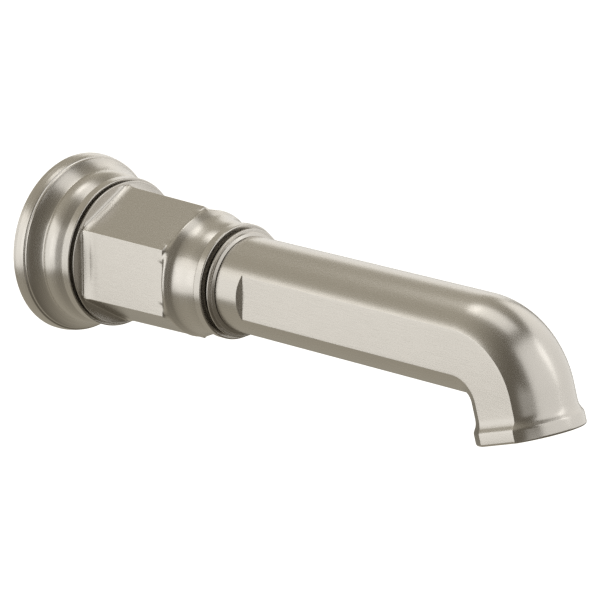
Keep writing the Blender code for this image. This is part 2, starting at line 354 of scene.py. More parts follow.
def rounded_outline(corners: Sequence[Corner], closed: bool = True) -> list[Vector]:
    """Rounds the corners of an outline with arcs, each held by a support point at both ends.

    Args:
        corners: The outline's corners in order.
        closed: True if the last corner joins the first.

    Returns:
        The outline's points as (radius, height).
    """
    points: list[Vector] = []
    places = [Vector((corner.radius, corner.height)) for corner in corners]
    for index, (corner, here) in enumerate(zip(corners, places)):
        at_end = not closed and index in (0, len(corners) - 1)
        if corner.rounding <= 0.0 or at_end:
            points.append(here)
            continue
        back = places[index - 1] - here
        onward = places[(index + 1) % len(places)] - here
        half = back.angle(onward) / 2
        reach = min(corner.rounding / tan(half), MOST_REACH * back.length, MOST_REACH * onward.length)
        radius = reach * tan(half)
        back_way, onward_way = back.normalized(), onward.normalized()
        centre = here + (back_way + onward_way).normalized() * (radius / sin(half))
        first = here + back_way * reach - centre
        turn = -first.angle_signed(here + onward_way * reach - centre)
        steps = max(2, ceil(abs(turn) / ARC_STEP))
        if back.length > 8 * SUPPORT + reach:
            points.append(here + back_way * (reach + SUPPORT))
        for step in range(steps + 1):
            arm = first.copy()
            arm.rotate(Matrix.Rotation(turn * step / steps, 2))
            points.append(centre + arm)
        if onward.length > 8 * SUPPORT + reach:
            points.append(here + onward_way * (reach + SUPPORT))
    return points


def smooth_through(points: Sequence[tuple[float, float]], steps: int) -> list[Vector]:
    """Draws a smooth curve through points.

    Args:
        points: The (radius, height) points that it passes.
        steps: How many pieces each span is cut into.

    Returns:
        Points on the curve, the given ones among them.
    """
    places = [Vector(point) for point in points]
    places = [2 * places[0] - places[1], *places, 2 * places[-1] - places[-2]]
    curve = []
    for a, b, c, d in zip(places, places[1:], places[2:], places[3:]):
        for step in range(steps):
            t = step / steps
            curve.append(
                0.5 * (2 * b + (c - a) * t + (2 * a - 5 * b + 4 * c - d) * t**2
                       + (3 * b - a - 3 * c + d) * t**3)
            )
    curve.append(places[-2])
    return curve


def tidy(shape: bmesh.types.BMesh) -> bmesh.types.BMesh:
    """Merges doubles, drops flattened faces and turns every face outwards.

    Args:
        shape: The mesh to tidy.

    Returns:
        The same mesh.
    """
    bmesh.ops.remove_doubles(shape, verts=shape.verts, dist=MERGED * MM)
    bmesh.ops.dissolve_degenerate(shape, dist=MERGED * MM, edges=shape.edges)
    bmesh.ops.recalc_face_normals(shape, faces=shape.faces)
    return shape


def turned(outline: Sequence[Vector], steps: int = 128) -> bmesh.types.BMesh:
    """Turns a closed outline about Z.

    Args:
        outline: The (radius, height) points.
        steps: How many segments go round.

    Returns:
        The turned solid.
    """
    shape = bmesh.new()
    verts = [shape.verts.new((point.x * MM, 0.0, point.y * MM)) for point in outline]
    edges = [shape.edges.new(pair) for pair in zip(verts, verts[1:] + verts[:1])]
    bmesh.ops.spin(
        shape, geom=verts + edges, cent=(0.0, 0.0, 0.0), axis=(0.0, 0.0, 1.0), dvec=(0.0, 0.0, 0.0),
        angle=2 * pi, steps=steps, use_merge=True, use_normal_flip=False, use_duplicate=False,
    )
    return tidy(shape)


def plain_ring(inner: float, outer: float, low: float, high: float, rounding: float,
               steps: int = 128) -> bmesh.types.BMesh:
    """A ring of rectangular section about Z.

    Args:
        inner: Its inner radius.
        outer: Its outer radius.
        low: Its lower end.
        high: Its upper end.
        rounding: How far its edges are rounded.
        steps: How many segments go round.

    Returns:
        The ring.
    """
    corners = [(inner, low), (outer, low), (outer, high), (inner, high)]
    return turned(rounded_outline([Corner(*place, rounding) for place in corners]), steps)


def drawn_through(rings: Sequence[Sequence[Vector]], closed: bool = True) -> bmesh.types.BMesh:
    """Extrudes a circle of edges from ring to ring.

    Args:
        rings: Rings of points in metres, all with the same number of points.
        closed: True to join the last ring to the first, False to cap both ends.

    Returns:
        The closed solid.
    """
    shape = bmesh.new()
    index = shape.verts.layers.int.new("place_in_ring")
    start = bmesh.ops.create_circle(shape, cap_ends=not closed, radius=1.0, segments=len(rings[0]))
    for place, vert in enumerate(start["verts"]):
        vert[index] = place
        vert.co = rings[0][place]
    edges = list(shape.edges)
    for ring in [*rings[1:], *(rings[:1] if closed else [])]:
        made = bmesh.ops.extrude_edge_only(shape, edges=edges)["geom"]
        edges = [item for item in made if isinstance(item, bmesh.types.BMEdge)]
        for vert in (item for item in made if isinstance(item, bmesh.types.BMVert)):
            vert.co = ring[vert[index]]
    if not closed:
        bmesh.ops.holes_fill(shape, edges=[edge for edge in shape.edges if edge.is_boundary])
    shape.verts.layers.int.remove(index)
    return tidy(shape)


def cylinder(radius: float, low: float, high: float, segments: int = 64) -> bmesh.types.BMesh:
    """A cylinder or prism about Z.

    Args:
        radius: Its radius, to its corners.
        low: Its lower end.
        high: Its upper end.
        segments: How many sides it has.

    Returns:
        The solid.
    """
    shape = bmesh.new()
    bmesh.ops.create_cone(
        shape, cap_ends=True, segments=segments, radius1=radius * MM, radius2=radius * MM,
        depth=(high - low) * MM, matrix=Matrix.Translation((0.0, 0.0, 0.5 * (low + high) * MM)),
    )
    return tidy(shape)


def moved(shape: bmesh.types.BMesh, frame: Matrix) -> bmesh.types.BMesh:
    """Moves a whole mesh into a frame, and returns it."""
    bmesh.ops.transform(shape, matrix=frame, verts=shape.verts)
    return shape


def mesh_of(shape: bmesh.types.BMesh, name: str) -> bpy.types.Mesh:
    """Writes a mesh being edited to a mesh of that name, frees it and returns the new one."""
    mesh = bpy.data.meshes.new(name)
    shape.to_mesh(mesh)
    shape.free()
    return mesh


def placed(name: str, data: bpy.types.ID) -> bpy.types.Object:
    """Makes an object of a mesh, light or camera in the scene, and returns it."""
    made = bpy.data.objects.new(name, data)
    bpy.context.scene.collection.objects.link(made)
    return made


def worked(shape: bmesh.types.BMesh, tool: bmesh.types.BMesh, operation: str) -> bmesh.types.BMesh:
    """Cuts one solid with another, or joins them.

    Args:
        shape: The solid that is worked on.
        tool: The solid that cuts it or joins it.
        operation: DIFFERENCE or UNION.

    Returns:
        The new solid. The two that were given are freed.
    """
    blanks = [placed("blank", mesh_of(part, "blank")) for part in (shape, tool)]
    boolean = blanks[0].modifiers.new("work", "BOOLEAN")
    boolean.operation, boolean.solver, boolean.object = operation, "EXACT", blanks[1]
    evaluated = blanks[0].evaluated_get(bpy.context.evaluated_depsgraph_get())
    result = bmesh.new()
    result.from_mesh(evaluated.to_mesh())
    evaluated.to_mesh_clear()
    for blank in blanks:
        bpy.data.meshes.remove(blank.data)
    return result


def dressed(name: str, shape: bmesh.types.BMesh, finish: Finish, sharp: float) -> bpy.types.Object:
    """Makes a finished piece of a mesh, in place of a CAD node, on no body yet.

    Args:
        name: The CAD node's name.
        shape: The piece's mesh in the row frame, freed here.
        finish: What it is made of.
        sharp: The angle in degrees past which an edge is creased.

    Returns:
        The piece.
    """
    mesh = mesh_of(shape, name + "_piece")
    mesh.shade_smooth()
    mesh.set_sharp_from_angle(angle=radians(sharp))
    mesh.materials.append(finish.material())
    piece = placed(name + "_piece", mesh)
    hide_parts(name)
    LOG.info("%s: %d faces, %s", piece.name, len(mesh.polygons), finish.name)
    return piece


def fitted(name: str, shape: bmesh.types.BMesh, finish: Finish, body: Body,
           sharp: float = 32.0) -> None:
    """Makes a finished piece of a mesh that rides on one body.

    Args:
        name: The CAD node's name.
        shape: The piece's mesh in the row frame, freed here.
        finish: What it is made of.
        body: The body that it rides on.
        sharp: The angle in degrees past which an edge is creased.
    """
    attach(dressed(name, shape, finish, sharp), body.value)


# ----------------------------------------------------------------- wall flange


@dataclass(frozen=True)
class WallFlange:
    """The turned cover on the wall, with its gasket and, before it, a dark rubber washer that paints the
    shade of the reveal gap.
    """

    radius: float = 35.0
    front: float = 24.3
    bore: float = 20.4
    band_radius: float = 29.0
    band_back: float = 20.75

    def outline(self) -> list[Vector]:
        """Draws the flange's section: band, bulge, cove, thin foot and hollow back.

        Returns:
            The section's points as (radius, height).
        """
        band = rounded_outline([
            Corner(26.6, 21.0), Corner(self.bore, 21.0, 0.2), Corner(self.bore, self.front, 0.2),
            Corner(self.band_radius, self.front, 0.4),
            Corner(self.band_radius, self.band_back, 0.12), Corner(28.08, 20.62),
        ], closed=False)
        swell = smooth_through([
            (28.1, 20.5), (28.35, 19.8), (28.9, 18.5), (29.5, 17.0), (29.98, 15.3), (30.22, 13.7),
            (30.25, 12.6), (30.1, 11.5),
        ], 4)
        flare = smooth_through([
            (30.15, 11.3), (30.6, 10.3), (31.3, 9.0), (32.1, 7.7), (32.9, 6.6), (33.6, 5.8),
        ], 3)
        foot = rounded_outline([
            Corner(33.62, 5.7), Corner(33.75, 5.3, 0.1), Corner(34.3, 5.0, 0.7),
            Corner(self.radius - 0.35, 3.6, 1.6), Corner(self.radius - 0.02, 1.6, 2.0),
            Corner(self.radius - 0.02, 0.0, 0.12), Corner(32.3, 0.0, 0.12), Corner(32.3, 1.7),
            Corner(28.9, 1.7, 0.3), Corner(27.3, 10.0, 4.0), Corner(26.6, 21.0),
        ], closed=False)
        return band + swell + flare + foot[:-1]

    def build(self) -> None:
        """Builds the flange, its rubber gasket and the dark washer that paints the shade in the gap
        before the body.
        """
        frame = Frames.spout()
        fitted("wall_flange", moved(turned(self.outline(), 192), frame), NICKEL_TURNED, Body.SPOUT)
        gasket = plain_ring(29.2, 32.0, 0.0, 1.4, 0.2)
        fitted("wall_gasket", moved(gasket, frame), RUBBER_BLACK, Body.SPOUT)
        # The dark washer fills the reveal gap and paints its shade.
        washer = plain_ring(21.0, 26.4, 24.6, 25.3, 0.1)
        fitted("reveal_washer", moved(washer, frame), RUBBER_PAINTED_GAP_SHADE, Body.SPOUT)


# -------------------------------------------------------------- hexagonal body


@dataclass(frozen=True)
class HexBody:
    """The cast body: spigot, round disc, tapered hexagon, bell and collar, with a set screw."""

    disc_back: float = 25.6
    disc_front: float = 26.3
    disc_radius: float = 28.0
    back_apothem: float = 23.05
    front_apothem: float = 22.3
    hex_back: float = 30.2
    hex_front: float = 68.55
    edge_rounding: float = 0.3
    shoulder_radius: float = 26.95
    bell_turn: float = 3.0
    pillow: float = 0.2
    collar_radius: float = 21.95
    front: float = 88.0
    bore: float = 16.4
    neck_bore: float = 16.8
    screw_out: float = 34.0
    screw_angle: float = -60.0

    def rounded_edge(self, apothem: float) -> tuple[float, float]:
        """Finds where the rounding of a hexagon's edges is.

        Args:
            apothem: From the axis to the middle of each face.

        Returns:
            How far out the rounding's centre is, and half the angle that the rounding takes.
        """
        reach = (apothem - self.edge_rounding) / cos(pi / 6)
        return reach, atan2(self.edge_rounding * 0.5, reach + self.edge_rounding * cos(pi / 6))

    def angles(self) -> list[float]:
        """Spaces a ring's points: even over the flats, close together at the six edges.

        Returns:
            The angles.
        """
        half = self.rounded_edge(0.5 * (self.back_apothem + self.front_apothem))[1]
        edge = [half * share for share in (-1.6, -1.0, -0.66, -0.33, 0.0, 0.33, 0.66, 1.0, 1.6)]
        flat_start, flat_end = edge[-1], pi / 3 - edge[-1]
        count = 24
        flat = [flat_start + (flat_end - flat_start) * i / count for i in range(1, count)]
        return [pi / 6 + side * pi / 3 + angle for side in range(6) for angle in edge + flat]

    def hexagon(self, apothem: float, angle: float) -> float:
        """The radius at an angle of a hexagon with rounded edges.

        Args:
            apothem: From the axis to the middle of each face.
            angle: The angle, from a face's middle.

        Returns:
            The radius there.
        """
        off_face = (angle + pi / 6) % (pi / 3) - pi / 6
        off_edge = pi / 6 - abs(off_face)
        reach, half = self.rounded_edge(apothem)
        if off_edge >= half:
            return apothem / cos(off_face)
        across = reach * sin(off_edge)
        return reach * cos(off_edge) + sqrt(self.edge_rounding**2 - across**2)

    def apothem(self, out: float) -> float:
        """The tapered hexagon's apothem at a distance out from the wall."""
        share = (out - self.hex_back) / (self.hex_front - self.hex_back)
        return self.back_apothem + (self.front_apothem - self.back_apothem) * share

    def spigot_rows(self) -> list[Row]:
        """Rows from the bore's wall end, round the spigot and its groove, to the disc's front."""
        outline = rounded_outline([
            Corner(self.bore, 20.0), Corner(self.bore, 14.0, 0.4), Corner(20.0, 14.0, 0.4),
            Corner(20.0, 21.7, 0.1), Corner(18.6, 21.7, 0.2), Corner(18.6, 23.5, 0.2),
            Corner(20.0, 23.5, 0.1), Corner(20.0, self.disc_back, 0.1),
            Corner(self.disc_radius, self.disc_back, 0.35),
            Corner(self.disc_radius, self.disc_front, 0.4),
            Corner(self.shoulder_radius + 0.35, self.disc_front),
        ], closed=False)
        return [round_row(point) for point in outline]

    def shoulder_row(self, point: Vector) -> Row:
        """A row of the cove at that (distance off the faces, height), inside the disc."""
        return lambda angle: (
            min(self.hexagon(self.apothem(point.y), angle) + point.x, self.shoulder_radius), point.y,
        )

    def shoulder_rows(self) -> list[Row]:
        """Draws the cove from the disc's front, which runs out gently into the six faces.

        Returns:
            The rows.
        """
        cove = smooth_through([
            (3.4, 26.33), (2.4, 26.38), (1.5, 26.5), (0.95, 26.75), (0.66, 27.1), (0.5, 27.5),
            (0.36, 28.05), (0.22, 28.7), (0.09, 29.45), (0.0, self.hex_back),
        ], 3)
        return [self.shoulder_row(point) for point in cove]

    def face_row(self, share: float) -> Row:
        """A row of the faces at a share of their length, pillowed until near their front edges."""
        out = self.hex_back + (self.hex_front - self.hex_back) * share
        swell = 1.0 - share**6
        return lambda angle: (
            self.hexagon(self.apothem(out), angle) + swell * self.pillow_at(angle), out,
        )

    def face_rows(self) -> list[Row]:
        """The rows along the faces, up to their front edges."""
        steps = 14
        return [self.face_row(step / steps) for step in range(1, steps + 1)]

    def pillow_at(self, angle: float) -> float:
        """How far a face is swelled at an angle from a face's middle."""
        off_face = (angle + pi / 6) % (pi / 3) - pi / 6
        return self.pillow * (1.0 - (tan(off_face) / tan(pi / 6)) ** 2)

    def bell_row(self, point: Vector) -> Row:
        """A row of the bell at that (radius, height), between hexagon and circle near its start."""
        left = 1.0 - min(1.0, (point.y - self.hex_front) / self.bell_turn)
        share = 1.0 - left**2.6
        return lambda angle: (
            self.hexagon(self.front_apothem, angle) * (1 - share) + point.x * share, point.y,
        )

    def bell_rows(self) -> list[Row]:
        """Draws the bell, which rises from the faces' straight ends and turns round.

        Returns:
            The rows.
        """
        profile = smooth_through([
            (24.15, self.hex_front), (24.35, 69.2), (24.4, 70.0), (24.15, 71.0), (23.5, 72.4),
            (22.75, 74.0), (22.2, 76.0), (21.85, 78.0), (21.5, 80.5), (21.1, 82.6), (20.75, 84.1),
        ], 8)
        return [self.bell_row(point) for point in profile[1:]]

    def collar_rows(self) -> list[Row]:
        """Rows over the collar, through its front and back down the bore."""
        outline = rounded_outline([
            Corner(20.7, 84.2), Corner(self.collar_radius - 0.3, 84.3, 0.05),
            Corner(self.collar_radius, 84.75, 0.25), Corner(self.collar_radius, self.front, 0.5),
            Corner(self.neck_bore, self.front, 0.2), Corner(self.neck_bore, 80.0, 0.2),
            Corner(13.2, 80.0, 0.3), Corner(13.2, 60.0, 0.4), Corner(self.bore, 57.0, 0.4),
            Corner(self.bore, 30.0),
        ], closed=False)
        return [round_row(point) for point in outline]

    def screw_frame(self) -> Matrix:
        """Z out along the set screw, through the lower face on the far side."""
        place = Matrix.Translation((0.0, -self.screw_out * MM, 0.0))
        return place @ Matrix.Rotation(radians(90.0 - self.screw_angle), 4, "Y")

    def build(self) -> None:
        """Builds the body and its set screw."""
        rows = self.spigot_rows() + self.shoulder_rows() + self.face_rows()
        rows += self.bell_rows() + self.collar_rows()
        body = moved(drawn_through(rings_of(rows, self.angles())), Frames.spout())
        hole = moved(cylinder(2.7, 12.0, 30.0), self.screw_frame())
        fitted("hex_body", worked(body, hole, "DIFFERENCE"), NICKEL_ALONG, Body.SPOUT, sharp=20.0)
        screw = turned(rounded_outline([
            Corner(0.0, 21.2), Corner(2.4, 21.2, 0.3), Corner(2.4, 17.0, 0.1), Corner(0.9, 15.1, 0.2),
            Corner(0.0, 15.1),
        ]), 48)
        socket = cylinder(1.4, 18.6, 22.0, 6)
        screw = moved(worked(screw, socket, "DIFFERENCE"), self.screw_frame())
        fitted("set_screw", screw, STEEL_BLACKED, Body.SPOUT)


def round_row(point: Vector) -> Row:
    """A row that is a plain circle of that (radius, height)."""
    return lambda angle: (point.x, point.y)


def rings_of(rows: Sequence[Row], angles: Sequence[float]) -> list[list[Vector]]:
    """Works out rings of points about Z.

    Args:
        rows: For each ring, what gives the radius and height at an angle.
        angles: The angles of a ring's points.

    Returns:
        The rings, in metres.
    """
    rings = []
    for row in rows:
        ring = []
        for angle in angles:
            radius, height = row(angle)
            ring.append(Vector((radius * cos(angle), radius * sin(angle), height)) * MM)
        rings.append(ring)
    return rings


# ------------------------------------------------------------------------ arm


@dataclass(frozen=True)
class Arm:
    """The round arm with a flat on each side, its bend and its flared outlet."""

    radius: float = 18.15
    flat: float = 16.2
    edge_rounding: float = 0.45
    neck_radius: float = 16.5
    neck_back: float = 82.2
    start: float = 92.15
    flat_start: float = 104.4
    bend_start: float = 206.0
    bend_radius: float = 20.0
    bend_angle: float = radians(73.0)
    outlet_length: float = 14.9
    waterway: float = 13.3
    mouth: float = 14.3
    lip_flare: float = 1.53

    @property
    def bend_length(self) -> float:
        """The bend's length on its centre line."""
        return self.bend_radius * self.bend_angle

    @property
    def end(self) -> float:
        """The rim's place along the centre line."""
        return self.bend_start + self.bend_length + self.outlet_length

    def section(self, radius: float, flat: float) -> list[Vector]:
        """A section across the arm.

        Args:
            radius: Of the round top and bottom.
            flat: From the centre to each flat, or more than the radius for a round section.

        Returns:
            The section's points as (across, up).
        """
        rounding = self.edge_rounding
        round_here = flat >= radius
        inner_flat = min(self.flat, 0.9 * radius) if round_here else flat
        corner_up = sqrt((radius - rounding) ** 2 - (inner_flat - rounding) ** 2)
        turn = atan2(corner_up, inner_flat - rounding)
        flats, roundings, crowns = 14, 5, 40
        half = []
        for i in range(flats + 1):
            up = corner_up * (-1 + 2 * i / flats)
            half.append(Vector((inner_flat, up)))
        for i in range(1, roundings + 1):
            angle = turn * i / roundings
            half.append(Vector((inner_flat - rounding + rounding * cos(angle),
                                corner_up + rounding * sin(angle))))
        for i in range(1, crowns):
            angle = turn + (pi - 2 * turn) * i / crowns
            half.append(Vector((radius * cos(angle), radius * sin(angle))))
        for i in range(roundings, 0, -1):
            angle = turn * i / roundings
            half.append(Vector((-inner_flat + rounding - rounding * cos(angle),
                                corner_up + rounding * sin(angle))))
        half += [Vector((-inner_flat, corner_up * (1 - 2 * i / flats))) for i in range(flats + 1)]
        lower = half[1 + flats:-1 - flats]
        outline = half + [Vector((-point.x, -point.y)) for point in lower]
        return [point.normalized() * radius for point in outline] if round_here else outline

    def place(self, along: float, point: Vector) -> Vector:
        """Puts a section's point in the row frame.

        Args:
            along: The section's place along the centre line.
            point: The point as (across, up).

        Returns:
            The point in metres.
        """
        past = along - self.bend_start
        tilt = min(max(past / self.bend_radius, 0.0), self.bend_angle)
        run = max(0.0, past - self.bend_length)
        out = min(along, self.bend_start) + self.bend_radius * sin(tilt) + run * cos(tilt)
        height = -self.bend_radius * (1 - cos(tilt)) - run * sin(tilt)
        return Vector((
            point.x, -(out + point.y * sin(tilt)), height + point.y * cos(tilt),
        )) * MM

    def stations(self) -> list[tuple[float, float, float]]:
        """Lists the arm's sections in order, outside first, then the bore.

        Returns:
            Each section's place along the centre line, its radius and its flat.
        """
        full = self.radius + 2.0
        step = 0.3
        outside = [
            (self.neck_back, self.neck_radius - step, full),
            (self.neck_back + step, self.neck_radius, full),
            (self.start - 0.02, self.neck_radius, full),
            (self.start, self.radius - step, full),
            (self.start + 0.09, self.radius - 0.09, full),
            (self.start + step, self.radius, full),
            (self.start + step + 0.1, self.radius, full),
        ]
        outside += [(self.start + 1.0 + i, self.radius, full) for i in range(12)]
        outside += [(self.flat_start, self.radius, full), (self.flat_start, self.radius, self.flat)]
        straight = self.bend_start - self.flat_start
        outside += [(self.flat_start + straight * i / 24, self.radius, self.flat)
                    for i in range(1, 24)]
        outside += [(self.bend_start + self.bend_length * i / 40, self.radius, self.flat)
                    for i in range(41)]
        for point in self.lip_profile():
            outside.append((self.end - point.y, self.radius + point.x, self.flat + 1.2 * point.x))
        inside = [
            (self.end, self.mouth, full), (self.end - 0.25, self.mouth - 0.6, full),
            (self.end - 0.9, self.waterway, full), (self.end - self.outlet_length, self.waterway, full),
        ]
        inside += [(self.bend_start + self.bend_length * (1 - i / 24), self.waterway, full)
                   for i in range(1, 25)]
        inside += [(self.start, self.waterway, full), (self.neck_back, self.waterway, full)]
        return outside + inside

    def lip_profile(self) -> list[Vector]:
        """Draws how far the lip stands out of the arm.

        Returns:
            Points as (flare, height above the rim).
        """
        cove = smooth_through([
            (0.0, 9.6), (0.05, 8.4), (0.22, 7.3), (0.6, 6.3), (1.05, 5.5), (1.42, 4.8),
            (self.lip_flare, 4.1),
        ], 4)
        rim = rounded_outline([
            Corner(self.lip_flare, 4.0), Corner(self.lip_flare, 0.0, 0.85), Corner(-3.0, 0.0),
        ], closed=False)
        return cove + [point for point in rim[1:-1] if point.x > 0.1]

    def scoop(self, side: int) -> bmesh.types.BMesh:
        """The cutter of the scoop where a flat starts, with the fine steps that the tool left.

        Args:
            side: 1 for the flat at +X, -1 for the one at -X.

        Returns:
            The cutter.
        """
        deep, outer = self.flat - 0.28, self.radius + 1.0
        start, bottom = self.flat_start - 1.95, self.flat_start - 0.42
        marks = 4
        outline = []
        for i in range(marks + 1):
            share = i / marks
            across = outer + (deep - outer) * share
            out = start + (bottom - start) * share**1.25
            outline.append(Vector((across, out)))
            if 1 <= i < marks:
                outline.append(Vector((across + 0.02, out + 0.07)))
        outline += [Vector((self.flat - 0.02, self.flat_start + 0.05)),
                    Vector((outer, self.flat_start + 0.05))]
        shape = bmesh.new()
        height = 12.0
        verts = [shape.verts.new((side * point.x * MM, -point.y * MM, -height * MM))
                 for point in outline]
        face = shape.faces.new(verts)
        made = bmesh.ops.extrude_face_region(shape, geom=[face])["geom"]
        top = [item for item in made if isinstance(item, bmesh.types.BMVert)]
        bmesh.ops.translate(shape, vec=(0.0, 0.0, 2 * height * MM), verts=top)
        return tidy(shape)

    def build(self) -> None:
        """Builds the arm, its collar and the dark ring before the body, which paints the shade in the gap
        between body and collar.
        """
        rings = [
            [self.place(along, point) for point in self.section(radius, flat)]
            for along, radius, flat in self.stations()
        ]
        arm = drawn_through(rings)
        for side in (-1, 1):
            arm = worked(arm, self.scoop(side), "DIFFERENCE")
        fitted("spout_arm", arm, NICKEL_ALONG, Body.SPOUT, sharp=24.0)
        collar = rounded_outline([
            Corner(16.8, 90.0, 0.1), Corner(20.6, 90.0, 0.3), Corner(20.6, 90.75, 0.3),
            Corner(19.5, 90.82, 0.04), Corner(19.45, 91.0, 0.05), Corner(19.2, 91.35, 0.4),
            Corner(18.1, 91.82, 0.1), Corner(16.8, 91.85, 0.05),
        ])
        frame = Frames.spout()
        fitted("arm_collar", moved(turned(collar, 160), frame), NICKEL_TURNED, Body.SPOUT)
        # The dark ring fills the gap before the body and paints its shade.
        ring = plain_ring(16.8, 19.0, 88.3, 89.7, 0.1)
        fitted("neck_spacer_ring", moved(ring, frame), RUBBER_PAINTED_GAP_SHADE, Body.SPOUT)


# -------------------------------------------------------------------- supply


@dataclass(frozen=True)
class Supply:
    """The brass adapter that the spout is pushed over, with its wrench hexagon."""

    radius: float = 16.1
    bore: float = 10.1
    waterway: float = 7.5
    head_corner: float = 19.0
    threads: int = 9

    def build(self) -> None:
        """Builds the adapter, with the supply thread cut in its bore."""
        groove = 1.9
        corners = [Corner(15.6, 56.0, 0.3), Corner(self.radius, 55.5, 0.2)]
        for low in (49.0, 43.0):
            corners += [
                Corner(self.radius, low + 2.2, 0.1), Corner(self.radius - groove, low + 2.2, 0.2),
                Corner(self.radius - groove, low, 0.2), Corner(self.radius, low, 0.1),
            ]
        corners += [
            Corner(self.radius, 36.2, 0.2), Corner(14.8, 35.0, 0.2), Corner(14.8, 33.0, 0.2),
            Corner(self.radius, 31.8, 0.2), Corner(self.radius, 4.0, 0.2), Corner(10.9, 4.0, 0.2),
            Corner(self.bore, 5.0, 0.1),
        ]
        pitch = 1.8
        for i in range(self.threads):
            low = 5.6 + i * pitch
            corners += [Corner(self.bore, low), Corner(self.bore + 0.55, low + 0.45 * pitch, 0.1),
                        Corner(self.bore, low + 0.9 * pitch)]
        corners += [Corner(self.bore, 24.0, 0.2), Corner(self.waterway, 26.0, 0.3),
                    Corner(self.waterway, 56.0, 0.3)]
        sleeve = turned(rounded_outline(corners), 96)
        head = cylinder(self.head_corner, 4.4, 13.4, 6)
        long_edges = [edge for edge in head.edges
                      if abs(edge.verts[0].co.z - edge.verts[1].co.z) > MM]
        bmesh.ops.bevel(
            head, geom=long_edges, offset=0.35 * MM, affect="EDGES", segments=3, profile=0.5, material=-1,
        )
        hollow = cylinder(self.radius - 1.0, 3.0, 15.0, 96)
        head = worked(head, hollow, "DIFFERENCE")
        adapter = moved(worked(sleeve, head, "UNION"), Frames.spout())
        fitted("supply_adapter", adapter, BRASS_TURNED, Body.SPOUT)


# ------------------------------------------------------------------- outlet


